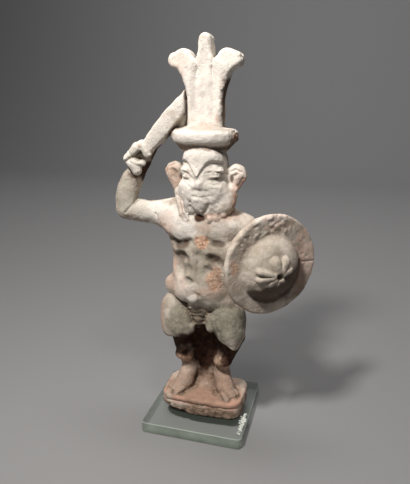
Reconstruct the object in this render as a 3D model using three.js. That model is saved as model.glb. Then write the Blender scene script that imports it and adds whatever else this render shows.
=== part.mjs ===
// A moulded terracotta figure of the god Bes as a warrior, on its plate of clear glass.
// Millimetres, +Z up, the front faces -Y. The origin is the middle of the glass plate's underside.

import * as THREE from 'three';

// The terracotta figure
const FIGURE_HEIGHT = 344;       // plinth's underside to the tip of the middle plume
const PLINTH_HEIGHT = 17;
const PLINTH_WIDTH = 79;
const PLINTH_DEPTH = 50;
const PLINTH_CORNER = 11;        // corner radius seen from above
const PLINTH_EDGE = 2.2;         // worn radius of the top and bottom edges
const PLINTH_BOW = 3;            // how far the front swells out beyond its corners
const GROOVE_DROP = 5.5;         // the groove round the plinth, below its top
const GROOVE_DEPTH = 1.1;
const GROOVE_WIDTH = 1.6;

// The glass plate
const GLASS_WIDTH = 96;
const GLASS_DEPTH = 96;
const GLASS_THICKNESS = 10;
const GLASS_CORNER = 2.5;
const GLASS_BEVEL = 0.8;

// How they stand together
const REST_GAP = 0.3;            // air between the plinth and the glass
const FIGURE_SHIFT = 1.5;        // the figure stands a little to the right of the plate's middle

// How finely the clay is meshed
const CELL = 1.8;
const CLAY_TRIANGLES = 9300;
const LONG_FOLD_COST = 2e-4;     // keeps long thin faces off flat ground
const SPLINTER = 0.05;           // least height of a face as a share of its longest side
const MOST_TURN = 0.25;          // cosine of the most that a face may turn in one fold

// The body is laid out on 327 steps from the plinth's top to the tip of the middle plume.
// Every place and radius below is in those steps: x to the right, y to the back, z up from the plinth.
const BODY_STEPS = 327;
const STEP = (FIGURE_HEIGHT - PLINTH_HEIGHT) / BODY_STEPS;
const BODY_REACH = { left: 87, right: 102, front: 52, back: 30 };
const FAR = 1e3;

// The round shield, in steps, turned outward about its upright axis
const SHIELD_TURN = THREE.MathUtils.degToRad(41);
const SHIELD_AT = [61.5, -12, 137.5];
const SHIELD_RADIUS = 44.5;
const SHIELD_RIBS = 8;

// Clay masses, as distances to their surface, negative inside

function clamp(value, low, high) {
  return Math.min(Math.max(value, low), high);
}

// Joins two masses with a soft fillet.
function melt(a, b, fillet) {
  const h = Math.max(fillet - Math.abs(a - b), 0) / fillet;
  return Math.min(a, b) - h * h * fillet * 0.25;
}

// Presses the shape b into the mass a.
function press(a, b, fillet) {
  return -melt(-a, b, fillet);
}

function egg(p, centre, radii) {
  const x = (p[0] - centre[0]) / radii[0];
  const y = (p[1] - centre[1]) / radii[1];
  const z = (p[2] - centre[2]) / radii[2];
  const near = Math.sqrt(x * x + y * y + z * z);
  const slope = Math.sqrt((x / radii[0]) ** 2 + (y / radii[1]) ** 2 + (z / radii[2]) ** 2);
  return near * (near - 1) / Math.max(slope, 1e-6);
}

// A tapering limb from a to b; flat below 1 squeezes it from front to back.
function limb(p, a, b, radiusA, radiusB, flat = 1) {
  const ax = p[0] - a[0];
  const ay = (p[1] - a[1]) / flat;
  const az = p[2] - a[2];
  const bx = b[0] - a[0];
  const by = (b[1] - a[1]) / flat;
  const bz = b[2] - a[2];
  const along = clamp((ax * bx + ay * by + az * bz) / (bx * bx + by * by + bz * bz), 0, 1);
  const dx = ax - along * bx;
  const dy = ay - along * by;
  const dz = az - along * bz;
  const away = Math.sqrt(dx * dx + dy * dy + dz * dz) - radiusA - along * (radiusB - radiusA);
  return away * Math.min(flat, 1);
}

// The edge where two faces meet square, from the distances to each face.
function edge(a, b) {
  return Math.hypot(Math.max(a, 0), Math.max(b, 0)) + Math.min(Math.max(a, b), 0);
}

// Gives a flat outline its thickness from front to back, with rounded edges.
function slab(outline, y, front, back, round) {
  const through = Math.abs(y - (front + back) / 2) - (back - front) / 2;
  return edge(outline + round, through + round) - round;
}

function torso(p) {
  if (p[2] < 60 || p[2] > 225) return FAR;
  let d = egg(p, [0, -1, 158], [34.5, 19, 36]);
  d = melt(d, egg(p, [0, -4, 122], [30, 20, 24]), 12);
  d = melt(d, egg(p, [0, -3, 107], [36, 19, 14]), 7);
  d = melt(d, limb(p, [-14, 2, 181], [-34, 0, 173], 12, 13), 7);
  d = melt(d, limb(p, [14, 2, 172], [36, 1, 166], 11.5, 11.5), 7);
  d = melt(d, limb(p, [0, 3, 176], [0, 3, 206], 17, 15), 6);
  for (const side of [-1, 1]) {
    d = melt(d, egg(p, [side * 15, -12, 166], [15.5, 10, 11.5]), 4);
    for (const [level, out, size] of [[146, 8.5, 6.6], [134, 8, 6.2], [122, 7.5, 5.8]]) {
      d = melt(d, egg(p, [side * out, -17.5, level], [7.2, 5.2, size]), 3);
    }
  }
  // the soft lower belly with its navel, and the fold where it meets the hips
  d = melt(d, egg(p, [-1, -15, 108], [19, 10, 11]), 6);
  d = press(d, egg(p, [0, -25.5, 111.5], [2.2, 3, 2.6]), 2);
  for (const side of [-1, 1]) {
    d = press(d, limb(p, [side * 34, -10, 106], [side * 9, -25, 92], 1.8, 2.6), 4);
  }
  return d;
}

// The height of the frowning brow line, a V that arches out over each eye.
function browLine(across) {
  const rise = 12 * Math.sin(Math.PI / 2 * clamp(across / 12.5, 0, 1));
  return 214.5 + rise - 8 * clamp((across - 12.5) / 8, 0, 1) ** 2;
}

function head(p) {
  if (p[2] < 150 || p[2] > 270) return FAR;
  const [x, y, z] = p;
  let d = egg(p, [0, -2, 209], [20.5, 19, 25]);
  d = melt(d, egg(p, [0.5, -2, 221], [19, 17.8, 17]), 5);
  d = melt(d, egg(p, [1, -9, 206], [17.5, 14.5, 21]), 6);
  // the beard hangs like a collar from ear to ear
  d = melt(d, egg(p, [1, -8, 193], [23.5, 14.5, 12.5]), 4);
  d = melt(d, limb(p, [-21, -8, 196], [-12.5, -19.5, 177], 6, 3.2), 3);
  for (const lock of [[10.5, -19, 180.5], [16.8, -16.5, 182.5], [21.8, -12, 187.3], [24.3, -7.5, 193.5]]) {
    d = melt(d, egg(p, lock, [4.4, 4.6, 5.4]), 2.5);
  }
  d = melt(d, egg(p, [1, -20, 190.5], [8.5, 8, 9.5]), 3);
  d = press(d, egg(p, [0.7, -25, 179], [4.4, 7, 4]), 2.5);
  // the forehead swells out over the brow line
  const overBrow = clamp((z - browLine(Math.abs(x - 1))) / 2.4, -1, 1);
  const onFace = clamp((-y - 4) / 8, 0, 1) * clamp((236 - z) / 10, 0, 1) * clamp((z - 202) / 8, 0, 1);
  d -= 1.5 * overBrow * onFace;
  // cheeks, eyes in their hollows, and the broad nose over the moustache
  for (const side of [-1, 1]) {
    d = melt(d, egg(p, [1 + side * 11.5, -15.5, 201.5], [7.5, 7.5, 7]), 4);
    d = press(d, egg(p, [1 + side * 10, -24, 211.5], [6.5, 5, 3.6]), 3);
    d = melt(d, egg(p, [1 + side * 10, -17.5, 211], [4.8, 3.8, 3.4]), 1.6);
    d = melt(d, egg(p, [1 + side * 5, -24, 204], [3.6, 3.4, 3]), 2);
    d = melt(d, limb(p, [1 + side * 2, -24, 198.5], [1 + side * 11, -20.5, 193.5], 2.8, 2.2), 2);
  }
  return melt(d, limb(p, [1, -21, 215], [1, -24.5, 205], 3.2, 4.6), 2.5);
}

function ears(p) {
  if (Math.abs(p[0]) < 12 || p[2] < 180 || p[2] > 240) return FAR;
  let d = FAR;
  for (const side of [-1, 1]) {
    let ear = limb(p, [side * 27.5, -2, 213.5], [side * 22, -3, 197], 8.8, 4.2, 0.62);
    ear = press(ear, limb(p, [side * 28, -8.5, 213.5], [side * 24.5, -8.5, 203], 5, 2.6), 1.6);
    d = Math.min(d, ear);
  }
  return d;
}

// The tall crown: an oval brim with a bowl under it, and three plumes.
function crown(p) {
  if (p[2] < 215) return FAR;
  const [x, y, z] = p;
  const oval = Math.hypot(x + 0.8, 1.2 * (y + 0.5));
  const rim = 28.2;
  const bowl = z < 239 ? rim - (239 - z) * 1.0 : rim - Math.max(z - 246, 0) * 2.2;
  let d = Math.max((oval - bowl) * 0.72, 224 - z, z - 252);
  d = melt(d, edge(oval - rim + 3, Math.abs(z - 242.4) - 1.6) - 3, 2);

  // the middle plume is straight with a blunt tip, the outer two curl away from it
  const axis = 0.3;
  const across = Math.abs(x - axis);
  const flat = [across, 0, z];
  let outline = limb(flat, [0, 0, 250], [0, 0, 319.3], 8.4, 7.5);
  let curl = limb(flat, [9.8, 0, 246], [9.8, 0, 282], 6, 6);
  curl = melt(curl, limb(flat, [9.8, 0, 282], [15.5, 0, 300.5], 6, 7.8), 4);
  curl = melt(curl, limb(flat, [15.5, 0, 301.5], [25, 0, 307.6], 8, 6.2), 4);
  outline = melt(outline, curl, 2.5);
  let plumes = slab(outline, y, -8.5, 6.5, 2.6);
  // flutes between the plumes and down the middle one
  for (const side of [-1, 1]) {
    const flute = axis + side * 8;
    plumes = press(plumes, limb(p, [flute, -11.2, 254], [flute, -11.2, 306], 3.4, 3.4), 1.5);
  }
  plumes = press(plumes, limb(p, [axis, -12, 254], [axis, -12, 320], 4.2, 4.2), 1.5);
  return melt(d, plumes, 6);
}

// The raised arm bends back up, and the fist holds a short sword that leans on the crown.
function raisedArm(p) {
  if (p[0] > -10 || p[2] < 150) return FAR;
  let d = limb(p, [-33, 0, 173.5], [-52, -2, 174.5], 13, 9.4);
  d = melt(d, limb(p, [-52, -2, 174.5], [-73, -3, 177.5], 9.2, 9.8), 4);
  d = melt(d, limb(p, [-73, -3, 178], [-72, -3, 194], 9.8, 10.6), 4);
  d = melt(d, limb(p, [-72, -3, 194], [-66.5, -4, 211], 10.4, 6.6), 5);
  // fist: the hand below, the knuckles above, and the guard of the hilt beside them
  d = melt(d, egg(p, [-61.5, -7, 217.5], [8.8, 8, 8]), 2.2);
  d = melt(d, limb(p, [-67.5, -7, 224], [-60, -8, 233], 5.4, 4.4), 2);
  d = melt(d, limb(p, [-56, -7, 235], [-50.5, -7, 227], 4.4, 4.2), 2);
  // clay left standing between the forearm and the sword
  d = melt(d, limb(p, [-68, 2, 196], [-59.5, 2, 220], 5, 6.5), 3);
  d = melt(d, egg(p, [-59, -3, 228], [5.5, 6, 6]), 2);
  return melt(d, limb(p, [-59.5, 2, 220], [-50, 0, 231], 6.5, 5), 3);
}

function sword(p) {
  if (p[0] > 0 || p[2] < 205) return FAR;
  const [x, y, z] = p;
  const root = [-52.5, 232.5];
  const end = [-15, 274.5];
  const length = Math.hypot(end[0] - root[0], end[1] - root[1]);
  const ux = (end[0] - root[0]) / length;
  const uz = (end[1] - root[1]) / length;
  const along = (x - root[0]) * ux + (z - root[1]) * uz;
  const side = (z - root[1]) * ux - (x - root[0]) * uz;
  const share = clamp(along / length, 0, 1);
  const half = 5.2 + 2.2 * Math.sin(Math.PI * Math.min(share * 0.95, 1));
  const crownEdge = -15.2;
  const outline = Math.max(Math.abs(side + 0.5) - half, x - crownEdge, -along);
  const blade = slab(outline, y, -11, 4.5, 2.4);
  // clay left in the corner between the blade, the brim and the crown
  return melt(blade, limb(p, [-25, -1, 247], [-16, -1, 266], 5, 4), 2);
}

// A point as the shield sees it: across its face, out from it and up.
function shieldPlace(p) {
  const x = p[0] - SHIELD_AT[0];
  const y = p[1] - SHIELD_AT[1];
  return [
    x * Math.cos(SHIELD_TURN) + y * Math.sin(SHIELD_TURN),
    x * Math.sin(SHIELD_TURN) - y * Math.cos(SHIELD_TURN),
    p[2] - SHIELD_AT[2],
  ];
}

// The shield has a wide flat rim, a high boss and a flower of ribs on it.
function shield(p) {
  const [across, out, up] = shieldPlace(p);
  const away = Math.sqrt(across * across + up * up);
  if (away > SHIELD_RADIUS + 20 || Math.abs(out) > 50) return FAR;
  let d = edge(away - SHIELD_RADIUS + 2.4, Math.abs(out) - 0.8) - 2.4;
  // the boss sits a little low and towards the body
  const boss = egg([across, out, up], [-2.5, -1, -2], [28.5, 19.5, 28.5]);
  d = melt(d, Math.max(boss, -out - 2), 2.5);
  // flower: ribs round a hole
  const petalAcross = across + 4.5;
  const petalUp = up + 4;
  const petalAway = Math.hypot(petalAcross, petalUp);
  const turn = Math.atan2(petalUp, petalAcross);
  const petal = Math.abs(((turn / (2 * Math.PI) + 1) * SHIELD_RIBS % 1) - 0.5) * 2;
  const rib = 2.6 * (1 - petal) * clamp((13.5 - petalAway) / 4, 0, 1) * clamp((petalAway - 1.5) / 2, 0, 1);
  d -= rib * clamp((out - 8) / 4, 0, 1);
  return press(d, Math.hypot(petalAway, out - 20.5) - 3, 1.5);
}

function shieldArm(p) {
  if (p[0] < 5 || p[2] > 200 || p[2] < 90) return FAR;
  let d = limb(p, [33, 1, 167], [46, 4, 148], 11.5, 10);
  d = melt(d, limb(p, [46, 4, 148], [60, -6, 136], 10, 8), 4);
  // clay packed between the shield and the flank
  d = melt(d, limb(p, [22, -8, 146], [44, -8, 138], 13, 12), 5);
  return melt(d, limb(p, [24, -5, 126], [58, -6, 126], 12, 10), 5);
}

// Bandy legs: heavy thighs and knees in front, short shins drawn back to the heels.
function legs(p) {
  if (p[2] > 125) return FAR;
  let d = egg(p, [-26.5, -7, 84], [14, 15.5, 19.5]);
  d = melt(d, egg(p, [-22.5, -13, 71.5], [16.2, 13.5, 11]), 6);
  let right = egg(p, [24.5, -9, 82], [16.5, 16, 20]);
  right = melt(right, egg(p, [30, -15, 67], [9.5, 12, 11]), 6);
  right = melt(right, egg(p, [10.5, -12, 79], [7.5, 9, 7.5]), 5);
  d = Math.min(d, right);
  d = melt(d, limb(p, [-26, -2, 58], [-18, 4, 26], 12, 7.5), 4);
  d = melt(d, limb(p, [28, -3, 58], [17, 4, 28], 12, 7.5), 4);
  // clay standing behind and between the legs
  d = melt(d, limb(p, [0, 9, -4], [0, 6, 96], 18, 24, 0.5), 5);
  d = melt(d, egg(p, [0, 4, 88], [30, 15, 26]), 6);
  d = melt(d, egg(p, [-1, -15, 87], [6, 6, 9]), 3);
  return d;
}

function feet(p) {
  if (p[2] > 50) return FAR;
  let d = FAR;
  for (const [heel, toe] of [[[-16.5, 5], [-25.5, -10.5]], [[14.5, 6], [26.5, -8.5]]]) {
    const arch = [(heel[0] + toe[0]) / 2, (heel[1] + toe[1]) / 2, 4];
    d = melt(d, limb(p, [heel[0], heel[1], 20], arch, 8.5, 8.5), 3);
    d = melt(d, limb(p, arch, [toe[0], toe[1], -3], 8.5, 8.4), 3);
    const reach = Math.hypot(toe[0] - heel[0], toe[1] - heel[1]);
    const ux = (toe[0] - heel[0]) / reach;
    const uy = (toe[1] - heel[1]) / reach;
    for (const spread of [-6.6, -3.3, 0, 3.3, 6.6]) {
      const ahead = 7 - 0.05 * spread * spread;
      const root = [toe[0] - uy * spread, toe[1] + ux * spread, 2.6];
      const tip = [root[0] + ux * ahead, root[1] + uy * ahead, 0.8];
      d = melt(d, limb(p, root, tip, 2.2, 1.9), 0.8);
    }
  }
  return d;
}

function body(p) {
  let d = torso(p);
  d = melt(d, legs(p), 3);
  d = melt(d, feet(p), 3);
  d = melt(d, raisedArm(p), 6);
  d = melt(d, shieldArm(p), 6);
  d = melt(d, shield(p), 3);
  d = melt(d, head(p), 1.6);
  d = melt(d, ears(p), 2);
  d = melt(d, crown(p), 2);
  return melt(d, sword(p), 1.6);
}

// The plinth, in millimetres from its own underside.
function plinth(x, y, z) {
  const halfWidth = PLINTH_WIDTH / 2;
  const bow = PLINTH_BOW * (1 - (x / halfWidth) ** 2);
  const inFront = y < 0 ? y - PLINTH_BOW + bow : y;
  const groove = GROOVE_DEPTH * clamp(1 - Math.abs(z - PLINTH_HEIGHT + GROOVE_DROP) / GROOVE_WIDTH, 0, 1);
  const corner = PLINTH_CORNER;
  const dx = Math.abs(x) - halfWidth + corner;
  const dy = Math.abs(inFront) - PLINTH_DEPTH / 2 + corner;
  const plan = edge(dx, dy) - corner + groove;
  const level = Math.abs(z - PLINTH_HEIGHT / 2) - PLINTH_HEIGHT / 2;
  return edge(plan + PLINTH_EDGE, level + PLINTH_EDGE) - PLINTH_EDGE;
}

function clay(x, y, z) {
  const onBody = body([x / STEP, y / STEP, (z - PLINTH_HEIGHT) / STEP]) * STEP;
  const joined = melt(onBody, plinth(x, y, z), 2 * STEP);
  return Math.max(joined, -z);
}

// Meshes the surface where a field is zero, cell by cell, each cell cut into six tetrahedra.
function meshField(field, low, high, cell) {
  const count = [0, 1, 2].map((i) => Math.ceil((high[i] - low[i]) / cell) + 1);
  const [nx, ny, nz] = count;
  const at = (i, j, k) => (k * ny + j) * nx + i;
  const values = sampleField(field, low, cell, count);

  // the seven edge directions that the tetrahedra of a cell use
  const corners = [[0, 0, 0], [1, 0, 0], [0, 1, 0], [1, 1, 0], [0, 0, 1], [1, 0, 1], [0, 1, 1], [1, 1, 1]];
  const offsets = corners.map(([i, j, k]) => at(i, j, k));
  const tetrahedra = [[0, 1, 3, 7], [0, 3, 2, 7], [0, 2, 6, 7], [0, 6, 4, 7], [0, 4, 5, 7], [0, 5, 1, 7]];
  const evenOrders = [[0, 1, 2, 3], [1, 0, 3, 2], [2, 3, 0, 1], [3, 2, 1, 0]];
  const pairOrders = [[0, 1, 2, 3], [0, 2, 3, 1], [0, 3, 1, 2], [1, 2, 0, 3], [1, 3, 2, 0], [2, 3, 0, 1]];
  const points = [];
  const triangles = [];
  const known = new Map();

  function crossing(base, from, to) {
    const a = Math.min(from, to);
    const b = Math.max(from, to);
    const start = base + offsets[a];
    const key = start * 8 + (b ^ a);
    let index = known.get(key);
    if (index === undefined) {
      const stop = base + offsets[b];
      const share = clamp(values[start] / (values[start] - values[stop]), 0.06, 0.94);
      const i = start % nx;
      const j = Math.floor(start / nx) % ny;
      const k = Math.floor(start / (nx * ny));
      const step = corners[b ^ a];
      index = points.length / 3;
      points.push(low[0] + (i + share * step[0]) * cell);
      points.push(low[1] + (j + share * step[1]) * cell);
      points.push(low[2] + (k + share * step[2]) * cell);
      known.set(key, index);
    }
    return index;
  }

  for (let k = 0; k < nz - 1; k++) {
    for (let j = 0; j < ny - 1; j++) {
      for (let i = 0; i < nx - 1; i++) {
        const base = at(i, j, k);
        let solidCorners = 0;
        for (const offset of offsets) if (values[base + offset] < 0) solidCorners++;
        if (solidCorners === 0 || solidCorners === 8) continue;
        const inside = offsets.map((offset) => values[base + offset] < 0);
        for (const tetra of tetrahedra) {
          const solid = tetra.filter((corner) => inside[corner]).length;
          if (solid === 1 || solid === 3) {
            const lone = tetra.findIndex((corner) => inside[corner] === (solid === 1));
            const [a, b, c, d] = evenOrders[lone].map((order) => tetra[order]);
            const face = [crossing(base, a, b), crossing(base, a, c), crossing(base, a, d)];
            triangles.push(...(solid === 1 ? face : face.reverse()));
          } else if (solid === 2) {
            const order = pairOrders.find(([a, b]) => inside[tetra[a]] && inside[tetra[b]]);
            const [a, b, c, d] = order.map((n) => tetra[n]);
            const first = crossing(base, a, c);
            const opposite = crossing(base, b, d);
            triangles.push(first, crossing(base, a, d), opposite);
            triangles.push(first, opposite, crossing(base, b, c));
          }
        }
      }
    }
  }
  return { points, triangles };
}

// Samples the field on the grid, and in full only in blocks of cells near the surface.
function sampleField(field, low, cell, count) {
  const [nx, ny, nz] = count;
  const values = new Float32Array(nx * ny * nz);
  const block = 4;
  const reach = block * cell * 1.6;
  for (let k0 = 0; k0 < nz; k0 += block) {
    for (let j0 = 0; j0 < ny; j0 += block) {
      for (let i0 = 0; i0 < nx; i0 += block) {
        const middle = [i0, j0, k0].map((n, axis) => low[axis] + (n + block / 2) * cell);
        const rough = field(...middle);
        const near = Math.abs(rough) < reach;
        for (let k = k0; k < Math.min(k0 + block, nz); k++) {
          for (let j = j0; j < Math.min(j0 + block, ny); j++) {
            for (let i = i0; i < Math.min(i0 + block, nx); i++) {
              const here = near ? field(low[0] + i * cell, low[1] + j * cell, low[2] + k * cell) : rough;
              values[(k * ny + j) * nx + i] = here;
            }
          }
        }
      }
    }
  }
  return values;
}

// The ten different products in a corner's sum of squared plane distances.
const ERROR_TERMS = [0, 1, 2, 3, 4, 5, 6, 7, 8, 9];

// Thins a closed mesh by folding away the edge that changes the surface least, again and again.
class Thinner {
  constructor(points, triangles) {
    const corners = points.length / 3;
    this.points = Float64Array.from(points);
    this.faces = Int32Array.from(triangles);
    this.alive = triangles.length / 3;
    this.around = Array.from({ length: corners }, () => []);
    this.stamp = new Int32Array(corners);
    this.errors = new Float64Array(corners * 10);
    this.costs = [];
    this.folds = [];
    this.heap = [];
    for (let face = 0; face < this.alive; face++) this.addFace(face);
    for (let face = 0; face < this.alive; face++) {
      for (let corner = 0; corner < 3; corner++) {
        const a = this.faces[face * 3 + corner];
        const b = this.faces[face * 3 + (corner + 1) % 3];
        if (a < b) this.offer(a, b);
      }
    }
  }

  point(index) {
    return [this.points[index * 3], this.points[index * 3 + 1], this.points[index * 3 + 2]];
  }

  // Each corner collects the squared distances to the planes of the faces round it.
  addFace(face) {
    const corners = this.faces.subarray(face * 3, face * 3 + 3);
    const start = this.point(corners[0]);
    const normal = facing(start, this.point(corners[1]), this.point(corners[2]));
    const size = Math.hypot(...normal);
    const plane = normal.map((value) => value / size);
    plane.push(-dot(plane, start));
    for (const corner of corners) {
      this.around[corner].push(face);
      let slot = corner * 10;
      for (let i = 0; i < 4; i++) {
        for (let j = i; j < 4; j++) this.errors[slot++] += size / 2 * plane[i] * plane[j];
      }
    }
  }

  // Where the corner left by folding a onto b lies best, and what that costs.
  fold(a, b) {
    const sums = ERROR_TERMS.map((i) => this.errors[a * 10 + i] + this.errors[b * 10 + i]);
    const [xx, xy, xz, xw, yy, yz, yw, zz, zw, ww] = sums;
    const from = this.point(a);
    const to = this.point(b);
    const length = distance(from, to);
    const middle = from.map((value, i) => (value + to[i]) / 2);
    const cofactors = [yy * zz - yz * yz, xz * yz - xy * zz, xy * yz - xz * yy];
    const volume = xx * cofactors[0] + xy * cofactors[1] + xz * cofactors[2];
    let best = middle;
    if (volume > 1e-5 * ((xx + yy + zz) / 3) ** 3) {
      const solved = [
        -(cofactors[0] * xw + cofactors[1] * yw + cofactors[2] * zw) / volume,
        -(cofactors[1] * xw + (xx * zz - xz * xz) * yw + (xy * xz - xx * yz) * zw) / volume,
        -(cofactors[2] * xw + (xy * xz - xx * yz) * yw + (xx * yy - xy * xy) * zw) / volume,
      ];
      if (distance(solved, middle) < length * 1.5) best = solved;
    }
    const [x, y, z] = best;
    const squares = xx * x * x + yy * y * y + zz * z * z + ww;
    const products = xy * x * y + xz * x * z + yz * y * z + xw * x + yw * y + zw * z;
    return { best, cost: Math.max(squares + 2 * products, 0) + LONG_FOLD_COST * length ** 4 };
  }

  offer(a, b) {
    const { cost } = this.fold(a, b);
    const { heap, costs } = this;
    const item = costs.push(cost) - 1;
    this.folds.push(a, b, this.stamp[a], this.stamp[b]);
    let slot = heap.push(item) - 1;
    while (slot > 0) {
      const parent = (slot - 1) >> 1;
      if (costs[heap[parent]] <= cost) break;
      heap[slot] = heap[parent];
      slot = parent;
    }
    heap[slot] = item;
  }

  cheapest() {
    const { heap, costs } = this;
    const top = heap[0];
    const last = heap.pop();
    if (heap.length === 0) return top;
    let slot = 0;
    for (;;) {
      let child = slot * 2 + 1;
      if (child >= heap.length) break;
      if (child + 1 < heap.length && costs[heap[child + 1]] < costs[heap[child]]) child++;
      if (costs[heap[child]] >= costs[last]) break;
      heap[slot] = heap[child];
      slot = child;
    }
    heap[slot] = last;
    return top;
  }

  neighbours(a) {
    const found = [];
    for (const face of this.around[a]) {
      for (let corner = face * 3; corner < face * 3 + 3; corner++) {
        const other = this.faces[corner];
        if (other !== a && !found.includes(other)) found.push(other);
      }
    }
    return found;
  }

  // A fold is refused where it would pinch the surface, turn a face over or leave a splinter.
  allowed(a, b, best) {
    const near = this.neighbours(a);
    if (this.neighbours(b).filter((index) => near.includes(index)).length !== 2) return false;
    for (const [keep, other] of [[a, b], [b, a]]) {
      for (const face of this.around[keep]) {
        const corners = this.faces.subarray(face * 3, face * 3 + 3);
        if (corners.includes(other)) continue;
        const before = [this.point(corners[0]), this.point(corners[1]), this.point(corners[2])];
        const after = before.slice();
        after[corners.indexOf(keep)] = best;
        const old = facing(...before);
        const fresh = facing(...after);
        const sides = after.map((start, i) => distance(start, after[(i + 1) % 3]));
        const size = Math.hypot(...fresh);
        if (size < SPLINTER * Math.max(...sides) ** 2) return false;
        if (dot(fresh, old) < MOST_TURN * size * Math.hypot(...old)) return false;
      }
    }
    return true;
  }

  thinTo(target) {
    while (this.alive > target && this.heap.length > 0) {
      const item = this.cheapest() * 4;
      const a = this.folds[item];
      const b = this.folds[item + 1];
      if (this.stamp[a] !== this.folds[item + 2] || this.stamp[b] !== this.folds[item + 3]) continue;
      const { best } = this.fold(a, b);
      if (!this.allowed(a, b, best)) continue;
      this.points.set(best, a * 3);
      for (const i of ERROR_TERMS) this.errors[a * 10 + i] += this.errors[b * 10 + i];
      for (const face of this.around[b]) {
        const corners = this.faces.subarray(face * 3, face * 3 + 3);
        if (corners.includes(a)) {
          this.alive--;
          for (const corner of corners) {
            if (corner !== b) this.around[corner].splice(this.around[corner].indexOf(face), 1);
          }
          corners.fill(-1);
        } else {
          corners[corners.indexOf(b)] = a;
          this.around[a].push(face);
        }
      }
      this.around[b] = [];
      this.stamp[b]++;
      this.stamp[a]++;
      for (const index of this.neighbours(a)) this.offer(a, index);
    }
  }

  geometry() {
    const order = new Map();
    const positions = [];
    const index = [];
    for (const corner of this.faces) {
      if (corner < 0) continue;
      if (!order.has(corner)) {
        order.set(corner, positions.length / 3);
        positions.push(...this.point(corner));
      }
      index.push(order.get(corner));
    }
    const result = new THREE.BufferGeometry();
    result.setAttribute('position', new THREE.Float32BufferAttribute(positions, 3));
    result.setIndex(index);
    result.computeVertexNormals();
    return result;
  }
}

function dot(a, b) {
  return a[0] * b[0] + a[1] * b[1] + a[2] * b[2];
}

function distance(a, b) {
  return Math.hypot(a[0] - b[0], a[1] - b[1], a[2] - b[2]);
}

// The vector square to a face, as long as twice its area.
function facing(a, b, c) {
  const [ux, uy, uz] = [b[0] - a[0], b[1] - a[1], b[2] - a[2]];
  const [vx, vy, vz] = [c[0] - a[0], c[1] - a[1], c[2] - a[2]];
  return [uy * vz - uz * vy, uz * vx - ux * vz, ux * vy - uy * vx];
}

function buildFigure() {
  const margin = 3 * CELL;
  const left = Math.max(BODY_REACH.left * STEP, PLINTH_WIDTH / 2) + margin;
  const right = Math.max(BODY_REACH.right * STEP, PLINTH_WIDTH / 2) + margin;
  const front = Math.max(BODY_REACH.front * STEP, PLINTH_DEPTH / 2) + margin;
  const back = Math.max(BODY_REACH.back * STEP, PLINTH_DEPTH / 2) + margin;
  const low = [-left, -front, -margin];
  const high = [right, back, FIGURE_HEIGHT + margin];
  const mesh = meshField(clay, low, high, CELL);
  const thinner = new Thinner(mesh.points, mesh.triangles);
  thinner.thinTo(CLAY_TRIANGLES);
  const terracotta = new THREE.MeshStandardMaterial({ color: 0xb9a58f, roughness: 0.9, metalness: 0 });
  const figure = new THREE.Mesh(thinner.geometry(), terracotta);
  figure.name = 'bes_figure';
  figure.position.set(FIGURE_SHIFT, 0, GLASS_THICKNESS + REST_GAP);
  return figure;
}

function buildGlass() {
  const halfWidth = GLASS_WIDTH / 2 - GLASS_BEVEL;
  const halfDepth = GLASS_DEPTH / 2 - GLASS_BEVEL;
  const corner = GLASS_CORNER;
  const plan = new THREE.Shape();
  plan.absarc(halfWidth - corner, halfDepth - corner, corner, 0, Math.PI / 2);
  plan.absarc(corner - halfWidth, halfDepth - corner, corner, Math.PI / 2, Math.PI);
  plan.absarc(corner - halfWidth, corner - halfDepth, corner, Math.PI, Math.PI * 1.5);
  plan.absarc(halfWidth - corner, corner - halfDepth, corner, Math.PI * 1.5, Math.PI * 2);
  plan.closePath();
  const plate = new THREE.ExtrudeGeometry(plan, {
    depth: GLASS_THICKNESS - 2 * GLASS_BEVEL,
    bevelThickness: GLASS_BEVEL,
    bevelSize: GLASS_BEVEL,
    bevelSegments: 1,
    curveSegments: 4,
  });
  plate.translate(0, 0, GLASS_BEVEL);
  const clear = new THREE.MeshStandardMaterial({
    color: 0xaebfae, roughness: 0.05, metalness: 0, transparent: true, opacity: 0.35,
  });
  const glass = new THREE.Mesh(plate, clear);
  glass.name = 'glass_base';
  return glass;
}

const part = new THREE.Group();
part.add(buildGlass());
part.add(buildFigure());

export default part;
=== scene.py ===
"""A moulded terracotta figure of the god Bes as a warrior, standing on a plate of clear glass.

The figure is sculpted in clay masses, as distances to their surface, then meshed and painted.
Lengths are in millimetres until a mesh is finished, and in metres in Blender.
"""

import math

import bpy
import numpy as np
import openvdb
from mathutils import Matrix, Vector


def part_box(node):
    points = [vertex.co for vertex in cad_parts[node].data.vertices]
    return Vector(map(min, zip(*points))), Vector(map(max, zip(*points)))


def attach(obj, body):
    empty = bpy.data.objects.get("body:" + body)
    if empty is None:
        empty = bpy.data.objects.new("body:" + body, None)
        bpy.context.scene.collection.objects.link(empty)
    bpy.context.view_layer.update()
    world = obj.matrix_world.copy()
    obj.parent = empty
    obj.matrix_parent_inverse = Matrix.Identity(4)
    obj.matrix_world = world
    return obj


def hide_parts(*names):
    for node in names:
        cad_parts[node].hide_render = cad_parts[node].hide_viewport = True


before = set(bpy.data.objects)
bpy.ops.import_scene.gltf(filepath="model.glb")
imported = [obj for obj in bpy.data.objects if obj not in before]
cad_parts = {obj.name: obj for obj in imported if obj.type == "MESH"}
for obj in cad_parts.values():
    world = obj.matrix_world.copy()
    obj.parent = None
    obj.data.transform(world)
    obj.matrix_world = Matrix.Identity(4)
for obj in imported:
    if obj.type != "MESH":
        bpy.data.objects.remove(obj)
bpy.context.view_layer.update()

MM = 0.001
GLASS_LOW, GLASS_HIGH = (np.array(corner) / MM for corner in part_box("glass_base"))
FIGURE_LOW, FIGURE_HIGH = (np.array(corner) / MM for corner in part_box("bes_figure"))

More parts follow.
